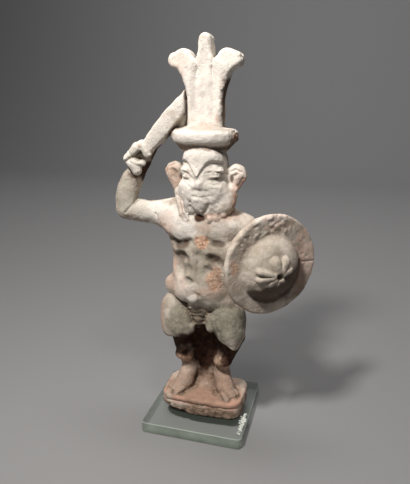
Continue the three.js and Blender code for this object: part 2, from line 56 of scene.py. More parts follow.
# Sculpt: sizes
PLINTH_HEIGHT = 17.0
PLINTH_WIDTH = 79.0
PLINTH_DEPTH = 50.0
PLINTH_CORNER = 11.0
PLINTH_EDGE = 2.2
PLINTH_BOW = 3.0
GROOVE_DROP = 5.5
GROOVE_DEPTH = 1.1
GROOVE_WIDTH = 1.6
SHIELD_TURN = math.radians(41)
SHIELD_AT = (61.5, -12.0, 137.5)
SHIELD_RADIUS = 44.5
REST_GAP = 0.3  # air between the plinth and the glass
FIGURE_SHIFT = 1.5  # the figure stands a little to the right of the plate's middle
ORIGIN = np.array([FIGURE_SHIFT, 0.0, GLASS_HIGH[2] + REST_GAP + PLINTH_HEIGHT])
FAR = 1e3  # the distance given where no form is near
CELL = 0.6  # step of the grid that the sculpt is meshed on
HALVINGS = 3  # how often the steps of that grid are halved
NEAR = 0.8  # how far from the surface a step is still halved


# Sculpt: tools
# Points are three rows of numbers, x to the right, y to the back and z up, from ORIGIN, which is on
# the plinth's top. A form gives each point's distance to its surface, negative inside.

def melt(a, b, fillet):
    """Joins two masses with a soft fillet."""
    near = np.maximum(fillet - np.abs(a - b), 0) / fillet
    return np.minimum(a, b) - near * near * (fillet / 4)


def press(a, b, fillet):
    """Presses the shape b into the mass a."""
    return -melt(-a, b, fillet)


def egg(p, centre, radii):
    """An egg with a radius along each axis."""
    x, y, z = ((p[i] - centre[i]) / radii[i] for i in range(3))
    near = np.sqrt(x * x + y * y + z * z)
    slope = np.sqrt((x / radii[0]) ** 2 + (y / radii[1]) ** 2 + (z / radii[2]) ** 2)
    return near * (near - 1) / np.maximum(slope, 1e-6)


def limb(p, a, b, radius_a, radius_b, flat=1.0):
    """A tapering limb from a to b; flat below 1 squeezes it from front to back."""
    ax, ay, az = p[0] - a[0], (p[1] - a[1]) / flat, p[2] - a[2]
    bx, by, bz = b[0] - a[0], (b[1] - a[1]) / flat, b[2] - a[2]
    along = np.clip((ax * bx + ay * by + az * bz) / (bx * bx + by * by + bz * bz), 0, 1)
    away = np.sqrt((ax - along * bx) ** 2 + (ay - along * by) ** 2 + (az - along * bz) ** 2)
    return (away - radius_a - along * (radius_b - radius_a)) * min(flat, 1)


def strand(p, points, radii, flat=1.0):
    """A chain of limbs through the points."""
    if np.isscalar(radii):
        radii = [radii] * len(points)
    d = FAR
    for a, b, radius_a, radius_b in zip(points, points[1:], radii, radii[1:]):
        d = np.minimum(d, limb(p, a, b, radius_a, radius_b, flat))
    return d


def edge(a, b):
    """The edge where two faces meet square, from the distances to each face."""
    return np.hypot(np.maximum(a, 0), np.maximum(b, 0)) + np.minimum(np.maximum(a, b), 0)


def slab(outline, y, front, back, round_by):
    """Gives a flat outline its thickness from front to back, with rounded edges."""
    through = np.abs(y - (front + back) / 2) - (back - front) / 2
    return edge(outline + round_by, through + round_by) - round_by


def within(p, low, high, form):
    """The form inside a box, and nothing outside it."""
    low, high = np.array(low)[:, None], np.array(high)[:, None]
    chosen = ((p >= low) & (p <= high)).all(axis=0)
    d = np.full(p.shape[1], FAR)
    if chosen.any():
        d[chosen] = form(p[:, chosen])
    return d


def drawn(p, points, width):
    """How near each point is to a line drawn on the front, from 0 to 1. The line's points are x and z."""
    nearest = np.full(p.shape[1], FAR)
    for (ax, az), (bx, bz) in zip(points, points[1:]):
        dx, dz = bx - ax, bz - az
        along = np.clip(((p[0] - ax) * dx + (p[2] - az) * dz) / (dx * dx + dz * dz), 0, 1)
        nearest = np.minimum(nearest, np.hypot(p[0] - ax - along * dx, p[2] - az - along * dz))
    return np.exp(-(nearest / width) ** 2)


def incise(p, d, points, width, depth):
    """Cuts a soft line into the front of a form."""
    return d + depth * drawn(p, points, width) * ramp(-p[1], 1, 5)


def ramp(value, start, stop):
    """From 0 at start to 1 at stop, smoothly."""
    share = np.clip((value - start) / (stop - start), 0, 1)
    return share * share * (3 - 2 * share)


def from_zone(p, centre, radii):
    """How far each point is from a zone's centre: 1 where the radii end."""
    return np.sqrt(sum(((p[i] - centre[i]) / radii[i]) ** 2 for i in range(3)))


LATTICE_SIZE = 32
LATTICE = np.random.default_rng(17).uniform(-1, 1, (LATTICE_SIZE,) * 3)


def noise(p, size, turn=0):
    """Smooth noise from -1 to 1 with lumps of about this size; turn picks another field."""
    q = p / size + 7.31 * turn
    corner = np.floor(q).astype(int)
    share = q - corner
    share = share * share * (3 - 2 * share)
    total = 0
    for i, j, k in np.ndindex(2, 2, 2):
        weight = np.abs(1 - i - share[0]) * np.abs(1 - j - share[1]) * np.abs(1 - k - share[2])
        x, y, z = (corner + np.array([[i], [j], [k]])) % LATTICE_SIZE
        total = total + weight * LATTICE[x, y, z]
    return total


# Sculpt: the trunk

def torso(p):
    """The trunk from the hips to the neck, stocky and muscular, with worn surfaces."""
    d = egg(p, (0, -1, 158), (33.5, 18.5, 36))
    d = melt(d, egg(p, (0, -5, 124), (29, 19.5, 27)), 12)
    d = melt(d, egg(p, (0, -3, 106), (35, 19, 15)), 9)
    d = melt(d, limb(p, (-14, 2, 181), (-34, 0, 173), 12, 13), 7)
    d = melt(d, limb(p, (14, 2, 172), (36, 1, 166), 11.5, 11.5), 7)
    d = melt(d, limb(p, (0, 3, 176), (0, 3, 206), 17, 15), 6)
    # chest: two broad flat plates, with the breastbone full between them
    for side in (-1, 1):
        d = melt(d, egg(p, (side * 17, -9, 166), (18, 10, 14)), 7)
    d = melt(d, egg(p, (0.5, -13, 153), (10, 7.6, 9)), 6)
    d = incise(p, d, [(-28, 155.5), (-22, 151.5), (-14, 151), (-8, 155)], 3.0, 2.4)
    d = incise(p, d, [(8, 157), (13, 154.4), (20, 153.5), (27, 155)], 3.0, 1.5)
    # belly: worn knots of muscle under the arch of the ribs, with hollows outside them
    for level, out, size in ((143, 8.6, 6.4), (131.5, 7, 5.6), (120.5, 6, 5)):
        for side in (-1, 1):
            d = melt(d, egg(p, (0.5 + side * out, -17.6, level), (size, 4.8, size - 0.4)), 5)
    d = melt(d, strand(p, [(-23, -13, 141.5), (-16, -16, 147.5), (0.5, -18, 149)], 2.6), 5)
    d = melt(d, strand(p, [(25, -12, 142), (16, -16, 148), (0.5, -18, 149)], 2.6), 5)
    for hollow, radii in (((-17, -21, 139.2), (6.6, 4.8, 4.6)), ((14.5, -22.2, 141), (6.2, 4.6, 3.8)),
                          ((-27, -14.2, 136), (4, 4, 5)), ((-10.6, -24, 129.8), (3.6, 3.4, 3)),
                          ((9, -24.2, 130), (3.6, 3.4, 3)), ((-19, -19, 128), (4.4, 4, 6)),
                          ((-9, -22.4, 117), (3.6, 2.6, 4)), ((0.6, -24.6, 136), (1.6, 2.2, 9))):
        d = press(d, egg(p, hollow, radii), 6)
    # a roll of flesh over the hip, the soft lower belly with its navel, and the fold at the hips
    d = melt(d, limb(p, (-28.4, -4, 108.5), (-16, -13.5, 104), 9, 7.5), 4)
    d = melt(d, egg(p, (-1, -14.5, 108), (21, 10.5, 12)), 6)
    d = melt(d, egg(p, (-4.4, -23, 103.4), (5.4, 3.8, 4.8)), 1.6)
    d = press(d, limb(p, (-2.6, -26.4, 109.4), (1.6, -26.2, 107.4), 1.2, 1.2), 1.8)
    d = incise(p, d, [(-35, 101.5), (-26, 99.5), (-19, 96.6), (-12, 93.5)], 1.6, 1.9)
    d = press(d, limb(p, (-34, -10, 98), (-9, -25, 92), 2, 2), 4)
    return melt(d, limb(p, (10, -15, 97.5), (24, -11, 96), 7, 8), 5)


# Sculpt: the head

def brow_line(x):
    """The height of the frowning brow line, a deep V that arches out over each eye."""
    across = np.abs(x + 0.8)
    steep = np.where(x > -0.8, 0.85, 1.3)
    rise = 14 * np.sin(np.pi / 2 * np.clip(across / 12.5, 0, 1) ** steep)
    return 211 + rise - np.where(x > 0, 2.2, 9) * np.clip((across - 12.5) / 8, 0, 2) ** 2


BEARD_SCALLOPS = (
    # the place of each scallop along the beard's edge, and its size
    (8.6, -17.8, 175.4, 3.6), (14.4, -16.8, 176.6, 3.6), (19.8, -14.8, 179.6, 3.6),
    (24.2, -12.2, 183.4, 3.4), (26.6, -9.2, 188.6, 3.2), (27.6, -6.8, 194.6, 3), (28, -5.6, 200, 2.6),
)


def beard(p):
    """The beard hangs like a collar, a flat long lock on one side and a scalloped plate on the other."""
    x, y, z = p
    d = egg(p, (0.5, -7.5, 194), (23, 14, 13.5))
    d = melt(d, egg(p, (-9, -11.5, 187), (10, 8.6, 11)), 5)
    plate = strand(p, [(5, -13, 181), (13, -12.5, 182), (19.5, -10.5, 186.5), (24, -7, 194), (25, -4, 201)],
                   (6.4, 7, 6.4, 5, 4), 0.8)
    d = melt(d, plate, 5)
    d = melt(d, egg(p, (14, -10.5, 190), (15, 8.6, 14)), 5)
    for *centre, size in BEARD_SCALLOPS:
        d = melt(d, egg(p, centre, (size, size - 0.4, size)), 0.7)
    lock = strand(p, [(-20, -10, 196), (-17.4, -14.6, 187), (-14.4, -17, 180), (-11.8, -18, 174.6)],
                  (5, 4.8, 4.2, 2.4), 0.7)
    d = melt(d, lock, 1.4)
    for line in ([(-19.4, 194), (-17.9, 187), (-15.6, 180.6), (-12.2, 174.4)],
                 [(-15.6, 193.4), (-13.6, 186), (-11.4, 180.4)]):
        d = incise(p, d, line, 0.8, 1.3)
    # worn combed strands down the wide side
    combed = ramp(x, 7, 12) * ramp(-z, -200, -192) * ramp(z, 174, 180) * ramp(-y, 6, 10)
    wave = np.sin((x + 0.35 * (z - 190) + 1.4 * noise(p, 6, 12)) * 2 * np.pi / 4.4)
    return d + 0.16 * combed * wave


def eyes(p, d):
    """Narrow scowling eyes that slant to the nose, heavy lids over them and worn lines around."""
    # the puffed lid under each brow, then the slit and the eyeball in it
    for outer, inner in (((-15.5, 213.4), (-6, 208.8)), ((18, 211.6), (6.4, 212.2))):
        middle = ((outer[0] + inner[0]) / 2, (outer[1] + inner[1]) / 2)
        d = melt(d, egg(p, (middle[0] + 0.1 * middle[0], -13.2, middle[1] + 5), (6.4, 4.6, 3.2)), 4)
        d = press(d, limb(p, (outer[0], -20.4, outer[1]), (inner[0], -23, inner[1]), 3, 2.7), 2.4)
        d = melt(d, egg(p, (middle[0], -16.5, middle[1]), (5, 3.1, 1.8)), 1)
    for line in ([(-16.6, 216), (-11, 214.4), (-5.4, 210.2)], [(-15, 210.6), (-10.6, 208.8), (-6.4, 205.8)],
                 [(-14.6, 207.6), (-10.4, 205.8), (-7.2, 203.6)],
                 [(6, 215.2), (11.6, 216.2), (17, 215.4), (20.8, 212.4)],
                 [(8, 209.4), (13, 208.6), (19.6, 208.4)], [(9, 206.4), (13, 205.4), (17, 205.6)]):
        d = incise(p, d, line, 0.8, 0.7)
    # worn pits at the temples
    d = press(d, egg(p, (19, -13.6, 209.6), (3.2, 4, 2)), 1.4)
    return press(d, egg(p, (-19.6, -8.5, 210), (3.2, 4.2, 4)), 1.6)


def head(p):
    """A grotesque bearded head, broad and flat in front, under the crown's bowl."""
    x, y, z = p
    d = egg(p, (0, -2, 207), (20.5, 18.5, 24))
    # the forehead is a dome under the crown's bowl
    outline = egg(np.stack([x, np.zeros_like(y), z]), (1.2, 0, 219.5), (20.4, 1, 18.4))
    d = melt(d, edge(outline + 5, np.hypot(0.85 * (x - 1.2), y + 2) - 13.5) - 5, 4)
    d = melt(d, egg(p, (1, -8.5, 204), (19, 13.6, 19)), 6)
    for side in (-1, 1):
        d = melt(d, egg(p, (1 + side * 11, -13, 200.5), (9.5, 8, 9)), 5)
    d = melt(d, beard(p), 3)
    # flat muzzle, and the tuft of the chin over the dark hollow at the throat
    d = melt(d, egg(p, (1.6, -14.6, 195.5), (15, 7.4, 9)), 6)
    d = melt(d, egg(p, (0.4, -16, 189), (7, 6, 11)), 5)
    d = press(d, limb(p, (-2.4, -20, 176.4), (3.4, -20, 176), 2.8, 2.4), 2.6)
    d = incise(p, d, [(-7.4, 190), (-7, 186), (-4.2, 181.6), (0, 179.9)], 1.4, 1.4)
    d = incise(p, d, [(3.6, 180.8), (7.4, 184.6), (8.4, 189)], 1.3, 0.9)
    # the forehead stands out over the brow line
    over_brow = np.clip((z - brow_line(x)) / 1.0, -1, 1)
    on_face = ramp(-y, 6, 13) * ramp(-z, -235, -229) * ramp(z, 203, 209)
    d = d - 1.15 * over_brow * on_face
    d = eyes(p, d)
    # a broad flat nose, cut off below with a shadowed line
    nose = limb(p, (0, -17.2, 212), (1, -20.6, 205.4), 3, 5)
    for side in (-1, 1):
        nose = melt(nose, egg(p, (1 + side * 4.4, -20.2, 203.8), (3.4, 3.4, 2.6)), 2)
    nose = press(nose, (z - 201.4) * 0.8 - 0.5 * (y + 21), 1.4)
    d = melt(d, nose, 2)
    d = incise(p, d, [(-5.4, 200.4), (-2.8, 200.9), (1, 200.7), (5, 200.9), (7.4, 200.4)], 1.0, 0.3)
    return incise(p, d, [(-4.4, 195.6), (0.4, 195), (5.4, 195.8)], 1.3, 0.7)


def ears(p):
    """Round lion's ears that stand out from the head."""
    left = limb(p, (-27, -2, 213.2), (-22, -3, 196), 8.6, 4.6, 0.62)
    left = press(left, limb(p, (-28.6, -8.4, 214.6), (-23.4, -8.6, 212.2), 3.4, 2.8), 1.2)
    left = press(left, limb(p, (-27, -8.6, 210.4), (-24.4, -8.6, 203), 2.2, 1.6), 1.2)
    left = incise(p, left, [(-33, 212.6), (-31.4, 217.4), (-27, 219.2)], 0.8, 0.8)
    right = limb(p, (28.6, -2, 212.4), (23, -3, 197), 8.8, 4.8, 0.62)
    right = press(right, strand(p, [(24.4, -7.4, 206), (25.6, -7.8, 211), (30, -8, 213)], 1.9), 1)
    right = incise(p, right, [(24.6, 215), (28.5, 217), (32.8, 215)], 0.9, 1.1)
    right = incise(p, right, [(34.6, 209.6), (31.6, 204.8), (28, 200)], 1.2, 0.8)
    return np.minimum(left, right)


# Sculpt: the tall crown, an oval brim with a bowl under it and three plumes

BOWL_FOOT = 226
BOWL_LEVEL = 240
BOWL_RADIUS = 27.6
BRIM_LEVEL = 244.4
BRIM_RADIUS = 28.8
BRIM_ROUND = 4.8
PLUME_AXIS = 1.3
PLUME_GROOVE_DEPTH = 2.2
PLUME_GROOVES = (
    # how far to the side of the axis, half width and where it fades out at the top
    (-7.2, 3.6, 304), (0.2, 4.4, 316), (7.8, 3.6, 304),
)


def crown(p):
    x, y, z = p
    oval = np.hypot(x + 0.4, np.where(z < 239, 1.3, 1.22) * (y + 0.5))
    above = np.maximum(z - BOWL_LEVEL - 7, 0)
    bowl = BOWL_RADIUS - np.where(z < BOWL_LEVEL, 0.95 * (BOWL_LEVEL - z), 1.3 * above ** 1.35)
    d = np.maximum(np.maximum((oval - bowl) * 0.7, BOWL_FOOT - z), z - BOWL_LEVEL - 18)
    level = np.abs(z - BRIM_LEVEL + 0.7 * noise(p, 9, 15)) - 0.8
    d = melt(d, edge(oval - BRIM_RADIUS + BRIM_ROUND, level) - BRIM_ROUND, 1.2)

    # the middle plume is straight with a blunt tip, the outer two curl away from it
    flat = np.stack([np.abs(x - PLUME_AXIS), np.zeros_like(y), z])
    outline = limb(flat, (0, 0, 250), (0, 0, 303), 7.6, 7.3)
    outline = melt(outline, limb(flat, (0, 0, 303), (0, 0, 319.8), 7.3, 5.3), 3)
    outline = melt(outline, limb(flat, (0, 0, 250), (0, 0, 288), 11.5, 9.5), 4)
    curl = limb(flat, (9.6, 0, 246), (9.6, 0, 280), 5.4, 5.6)
    curl = melt(curl, limb(flat, (9.6, 0, 280), (13.8, 0, 299.4), 5.6, 8.3), 3)
    curl = melt(curl, limb(flat, (13.8, 0, 299.4), (18.6, 0, 304.8), 8.3, 8.4), 2)
    curl = melt(curl, limb(flat, (18.6, 0, 304.8), (24.8, 0, 304.8), 8.4, 6.4), 1.5)
    outline = melt(outline, curl, 1.2)
    plumes = slab(outline, y, -9.2, 6.5, 3.6)
    for side, half, top in PLUME_GROOVES:
        away = (x - PLUME_AXIS - side) / half
        hollow = np.exp(-away ** 2) * ramp(z, 252, 268) * ramp(-z, -top - 4, -top + 14)
        plumes = plumes + PLUME_GROOVE_DEPTH * hollow * ramp(-y, 3, 7)
    return melt(d, plumes, 2)


# Sculpt: the raised arm and its short sword

def raised_arm(p):
    """The arm bends back up at the elbow, with clay left standing between it and the sword."""
    d = strand(p, [(-33, 0, 174), (-43, -1, 174.8), (-54, -2, 174.8), (-73.6, -3, 177.2)],
               (13, 11.2, 10.2, 10.2))
    forearm = [(-74, -3, 178), (-74.2, -3, 187), (-72.8, -2.6, 196), (-70.4, -1.6, 204.5), (-67.4, 0, 212)]
    d = melt(d, strand(p, forearm, (10.2, 10.4, 9.7, 8, 5.8)), 2.2)
    # the creases at the elbow and in front of the armpit
    d = incise(p, d, [(-61.2, 188.5), (-66, 181.5), (-71.5, 175.5)], 1.2, 1.2)
    d = incise(p, d, [(-42.5, 176), (-40.5, 171.5), (-38.5, 166)], 1.0, 1.8)
    d = melt(d, fist(p), 1.6)
    # clay left standing behind, between the forearm and the sword
    d = melt(d, limb(p, (-68, 3, 196), (-59.5, 3, 220), 5, 6.5), 3)
    d = melt(d, egg(p, (-59, -1, 228), (5.5, 6, 6)), 2)
    return melt(d, limb(p, (-59.5, 3, 220), (-50, 0, 231), 6.5, 5), 3)


def fist(p):
    """The heel of the hand below, the rolled fingers above, and the guard of the hilt beside them."""
    d = limb(p, (-63.2, -7.6, 219.6), (-60.6, -8.6, 213.6), 6.6, 4.4)
    d = melt(d, limb(p, (-62, -9, 219.6), (-55.4, -8, 220), 5, 3.2), 1.4)
    d = incise(p, d, [(-65.5, 221.6), (-60.5, 218.8), (-55, 217.6)], 0.9, 0.7)
    d = melt(d, limb(p, (-67.8, -7.5, 223.4), (-59.4, -8.2, 233.2), 5.4, 5), 1.2)
    d = melt(d, limb(p, (-54.8, -8, 236), (-50.4, -8, 230), 4.4, 3.8), 1.4)
    d = melt(d, limb(p, (-51, -8.5, 227.4), (-47.6, -9.5, 227.8), 2.6, 1.6), 1.2)
    d = incise(p, d, [(-70, 221.5), (-66, 223.6), (-61, 226.8), (-56.4, 230.4)], 1.0, 1.7)
    d = incise(p, d, [(-67, 230.4), (-63.6, 225.4)], 0.8, 0.9)
    d = incise(p, d, [(-61.4, 225), (-57.5, 222)], 0.9, 0.8)
    return press(d, egg(p, (-74.6, -8, 218.6), (3.6, 7, 3)), 1.4)


def sword(p):
    """A short blade, widest near its middle, whose end leans on the crown."""
    x, y, z = p
    root_x, root_z = -52.5, 232.5
    end_x, end_z = -15.0, 274.5
    length = math.hypot(end_x - root_x, end_z - root_z)
    ux, uz = (end_x - root_x) / length, (end_z - root_z) / length
    along = (x - root_x) * ux + (z - root_z) * uz
    side = (z - root_z) * ux - (x - root_x) * uz
    share = np.clip(along / length, 0, 1)
    half = 5.2 + 2.2 * np.sin(np.pi * np.minimum(share * 0.95, 1))
    crown_edge = -15.2
    outline = np.maximum(np.maximum(np.abs(side + 0.5) - half, x - crown_edge), -along)
    crowned = 0.9 * (1 - np.clip(side / half, -1, 1) ** 2)
    blade = slab(outline, y + crowned, -10.4, 4.5, 1.8)
    # clay left in the corner between the blade, the brim and the crown
    return melt(blade, limb(p, (-25, 0.5, 247), (-16, 0.5, 266), 5, 4), 2)


# Sculpt: the shield, with a wide flat rim, a high boss and a flower on it

SHIELD_PETALS = (
    # turn in degrees, where it ends and how wide it is
    (18, 15.5, 3.5), (57, 18, 4.0), (101, 16.5, 5.2), (163, 20, 3.2),
    (188, 19, 2.8), (222, 13, 3.6), (264, 11, 2.8), (306, 11.5, 3.2),
)
FLOWER_AT = (-3.4, -3.8)
FLOWER_HOLE = 2.7
SHIELD_ROUND = 2.2  # of the rim's edge
BOSS_AT = (-2.0, -1, -1.5)  # a little low and towards the body
BOSS_RADII = (28.5, 19.5, 28.5)


def shield_place(p):
    """A point as the shield sees it: across its face, out from it and up."""
    x, y = p[0] - SHIELD_AT[0], p[1] - SHIELD_AT[1]
    across = x * math.cos(SHIELD_TURN) + y * math.sin(SHIELD_TURN)
    out = x * math.sin(SHIELD_TURN) - y * math.cos(SHIELD_TURN)
    return np.stack([across, out, p[2] - SHIELD_AT[2]])


def flower(across, up):
    """How high the flower stands over the boss: blunt petals round a hole, with deep gaps."""
    fx, fy = across - FLOWER_AT[0], up - FLOWER_AT[1]
    away = np.hypot(fx, fy)
    height = -3.2 * np.exp(-((away - 9) / 5.5) ** 2)
    for turn, reach, width in SHIELD_PETALS:
        ux, uy = math.cos(math.radians(turn)), math.sin(math.radians(turn))
        along = np.clip(fx * ux + fy * uy, 4.5, reach - width)
        near = np.hypot(fx - along * ux, fy - along * uy) / width / (0.7 + 0.3 * along / (reach - width))
        height = np.maximum(height, 4.6 * np.exp(-near ** 4) - 1.4)
    rim = 2.6 * np.exp(-((away - 4.4) / 1.2) ** 2)
    return np.maximum(height, rim - 0.4) * (1 - ramp(away, 19, 23))


def shield(p):
    q = shield_place(p)
    across, out, up = q
    away = np.hypot(across, up)
    d = edge(away - SHIELD_RADIUS + SHIELD_ROUND, np.abs(out) - 1.0) - SHIELD_ROUND
    boss = egg(q, BOSS_AT, BOSS_RADII) - ramp(out, 9, 13) * flower(across, up)
    d = melt(d, np.maximum(boss, -out - 2), 3.2)
    from_hole = np.hypot(across - FLOWER_AT[0], up - FLOWER_AT[1])
    d = press(d, np.hypot(from_hole, (out - 20) * 0.6) - FLOWER_HOLE, 1)
    # crusts of burial earth along the upper rim, and a crack through its right side
    crust = ramp(out, 1, 3) * ramp(away, 28, 31) * ramp(up, 14, 26) * ramp(-across, -24, -8)
    d = d - crust * (0.6 + 0.45 * noise(p, 1.8, 5) + 0.5 * noise(p, 3.4, 9))
    crack = np.exp(-((up - 2.2 + 0.08 * across) / 0.7) ** 2) * ramp(across, 27, 31)
    return d + 0.9 * crack * ramp(out, 1, 3)


def shield_arm(p):
    d = limb(p, (31, 1, 162), (46, 4, 148), 11.5, 10)
    d = melt(d, limb(p, (46, 4, 148), (60, -6, 136), 10, 8), 4)
    # clay packed between the shield and the flank
    d = melt(d, limb(p, (22, -8, 146), (44, -8, 138), 13, 12), 5)
    return melt(d, limb(p, (24, -5, 126), (58, -6, 126), 12, 10), 5)


# Sculpt: bandy legs, heavy thighs over short shins drawn back to the heels

def legs(p):
    """Both legs, and the clay left standing behind and between them."""
    x, y, z = p
    left = egg(p, (-25.4, -7, 82), (13.6, 15, 19.5))
    left = melt(left, egg(p, (-22.6, -12.5, 72), (15.6, 12, 16)), 7)
    left = melt(left, limb(p, (-26.4, -9, 88), (-22, -11, 70), 12.2, 14.4, 0.95), 6)
    left = press(left, z - 64 - 0.06 * x + np.maximum(y + 2, 0) + 0.5 * noise(p, 5, 13), 0.6)
    left = melt(left, egg(p, (-6.8, -17.5, 72.4), (2.8, 4, 4.4)), 2)
    right = egg(p, (24.5, -9, 81), (16.5, 15.5, 18.5))
    right = melt(right, egg(p, (29, -14.5, 67), (10.5, 11, 14)), 8)
    right = melt(right, limb(p, (22, -10, 83), (27, -12.5, 72), 13.6, 12), 6)
    right = melt(right, egg(p, (10.5, -11.5, 79), (7.6, 9, 9)), 5)
    right = melt(right, egg(p, (10, -18.6, 74.6), (3.4, 3.6, 5)), 2)
    right = melt(right, egg(p, (31.6, -19.6, 58.5), (3, 4, 3.4)), 3)
    # its lower edge runs up from the knee to the groin, over a deep recess
    below = (z - 58.5) * 0.86 + (x - 30) * 0.5
    right = press(right, below + np.maximum(y + 4, 0) + 0.4 * noise(p, 5, 14), 0.8)
    d = np.minimum(left, right)
    d = melt(d, limb(p, (-25, 3, 58), (-18.5, 4, 26), 11, 7.5), 2)
    d = melt(d, limb(p, (27, 3, 58), (17, 4, 28), 11, 7.5), 2)
    for ankle in ((-20.5, -1.5, 34.5), (17.5, -1, 32)):
        d = melt(d, egg(p, ankle, (9.2, 7.6, 6.2)), 2)
    d = incise(p, d, [(-28, 29.5), (-21, 26.6), (-13, 27.8)], 1.3, 1.6)
    d = incise(p, d, [(12, 25.6), (18, 24.4), (24, 27)], 1.3, 1.2)
    # clay standing behind and between the legs, with a deep recess in front
    d = melt(d, limb(p, (0, 13, -4), (0, 10, 96), 17, 22, 0.5), 4)
    d = melt(d, egg(p, (0, 6, -1), (15, 9, 7)), 6)
    d = melt(d, egg(p, (0, 5, 90), (29, 15, 24)), 5)
    return melt(d, loins(p), 2)


def loins(p):
    """A small wedge between the thighs, wrinkled like cloth."""
    x, y, z = p
    d = limb(p, (-2, -13.5, 92), (-1.2, -13.5, 79), 11, 6, 0.6)
    d = melt(d, limb(p, (-1.4, -14.5, 80), (-2.4, -14.5, 73), 4.6, 2.2), 2)
    wrinkles = np.sin((z + 0.05 * (x + 1) ** 2 + 2.2 * noise(p, 6, 43)) * 2 * np.pi / 4.6)
    return d + 0.3 * wrinkles * ramp(-y, 9, 13)


FEET = (
    # heel and front of each foot, and the side that its big toe is on
    ((-16.5, 5.0), (-25.0, -9.5), 1),
    ((14.5, 6.0), (26.0, -7.5), -1),
)


def feet(p):
    """Bare feet turned outward, with five toes each."""
    d = FAR
    for heel, toe, inner in FEET:
        arch = ((heel[0] + toe[0]) / 2, (heel[1] + toe[1]) / 2, 4)
        d = melt(d, limb(p, (*heel, 20), arch, 8.3, 8.3), 3)
        d = melt(d, limb(p, arch, (*toe, -3.4), 8.3, 8.6), 3)
        reach = math.hypot(toe[0] - heel[0], toe[1] - heel[1])
        ux, uy = (toe[0] - heel[0]) / reach, (toe[1] - heel[1]) / reach
        for number in range(5):
            spread = inner * (6.6 - 3.3 * number)
            thick = 2.9 if number == 0 else 2.0
            ahead = 8.2 if number == 0 else 7.4 - 0.7 * number
            root = (toe[0] - uy * spread, toe[1] + ux * spread, 2.8)
            tip = (root[0] + ux * ahead, root[1] + uy * ahead, 1.2)
            d = melt(d, limb(p, root, tip, thick, thick - 0.2), 0.6)
    return d


# Sculpt: the whole figure

BODY_PARTS = (
    # form, the box that holds it, and the fillet that joins it to what is before it
    (torso, (-60, -40, 60), (60, 40, 225), 1),
    (legs, (-60, -45, -20), (60, 45, 125), 1.6),
    (feet, (-50, -40, -20), (50, 30, 50), 2.4),
    (raised_arm, (-100, -35, 145), (-5, 30, 250), 5),
    (shield_arm, (0, -40, 90), (85, 30, 200), 6),
    (shield, (15, -60, 85), (115, 40, 190), 2),
    (head, (-45, -45, 150), (45, 30, 265), 1.2),
    (ears, (-48, -25, 180), (48, 25, 240), 1.6),
    (crown, (-45, -40, 212), (45, 40, 340), 1.6),
    (sword, (-75, -30, 210), (0, 25, 300), 1.2),
)


def body(p):
    d = np.full(p.shape[1], FAR)
    for form, low, high, fillet in BODY_PARTS:
        d = melt(d, within(p, low, high, form), fillet)
    return d


def plinth(p):
    """The low plinth, bowed in front, with a groove round it and a broken foot at its front left."""
    x, y, z = p[0], p[1], p[2] + PLINTH_HEIGHT
    half_width = PLINTH_WIDTH / 2
    bow = PLINTH_BOW * (1 - (x / half_width) ** 2)
    in_front = np.where(y < 0, y - PLINTH_BOW + bow, y)
    wander = 0.9 * noise(p * np.array([[1], [1], [0]]), 11, 6)
    groove_level = z - PLINTH_HEIGHT + GROOVE_DROP + wander
    groove = GROOVE_DEPTH * np.clip(1 - np.abs(groove_level) / GROOVE_WIDTH, 0, 1)
    dx = np.abs(x) - half_width + PLINTH_CORNER
    dy = np.abs(in_front) - PLINTH_DEPTH / 2 + PLINTH_CORNER
    plan = edge(dx, dy) - PLINTH_CORNER + groove
    level = np.abs(z - PLINTH_HEIGHT / 2) - PLINTH_HEIGHT / 2
    d = edge(plan + PLINTH_EDGE, level + PLINTH_EDGE) - PLINTH_EDGE
    lost = 5.5 * ramp(-x, 0, 36) * ramp(-y, 6, 22) + 1.2 * ramp(np.abs(x), 24, 38)
    return np.maximum(d, (lost + 0.8 * noise(p, 3.4, 7) * ramp(lost, 0, 1) - z) * 0.8)


ROUGH_ZONES = (
    # centre, radii and depth of crumbled clay
    ((17.5, -6, 276), (5.5, 8, 26), 1.0),
    ((30, -3, 306), (6.5, 9, 6.5), 1.2),
    ((28, -6, 243.5), (6.5, 13, 8), 1.6),
    ((3, -20, 190), (26, 10, 24), 0.6),
    ((0, -14, 252.5), (24, 12, 5), 0.5),
    ((-27, -5, 247), (7, 9, 6), 0.6),
    ((14, -15, 215), (8, 7, 7), 0.9),
    ((-11, -16, 210), (7, 6, 5), 0.6),
    ((2.7, -19, 156.3), (6.8, 6, 6.8), 1.0),
    ((15.2, -20, 123), (7, 7, 14), 0.8),
    ((-72, -3, 170), (16, 12, 5), 0.9),
    ((0, -25, -12), (46, 12, 9), 1.0),
    ((0, 0, -13), (46, 32, 6), 0.8),
    ((-17, 0, 271), (4, 9, 12), 0.7),
)


def weathering(p):
    """What the ground took and left: a gentle unevenness, and crumbs where the skin is lost."""
    rough = 0
    for centre, radii, depth in ROUGH_ZONES:
        rough = np.maximum(rough, depth * (1 - ramp(from_zone(p, centre, radii), 0.6, 1.15)))
    crumbs = noise(p, 2.0, 3) + 0.7 * noise(p, 3.6, 4)
    pits = np.clip(noise(p, 2.6, 8) - 0.66, 0, 1) * 1.6
    return 0.38 * noise(p, 7.5, 1) + 0.24 * noise(p, 2.8, 2) + pits + rough * (0.2 + 0.55 * crumbs)


WORN_NEAR = 3.0  # how far from the surface the weathering is worked out


def clay(p):
    d = melt(body(p), within(p, (-60, -45, -30), (60, 45, 20), plinth), 1.6)
    near = np.abs(d) < WORN_NEAR
    d[near] += weathering(p[:, near])
    return np.maximum(d, -p[2] - PLINTH_HEIGHT)


# Sculpt: sampling

DIAGONAL = 1.7  # about a cell's diagonal, in steps


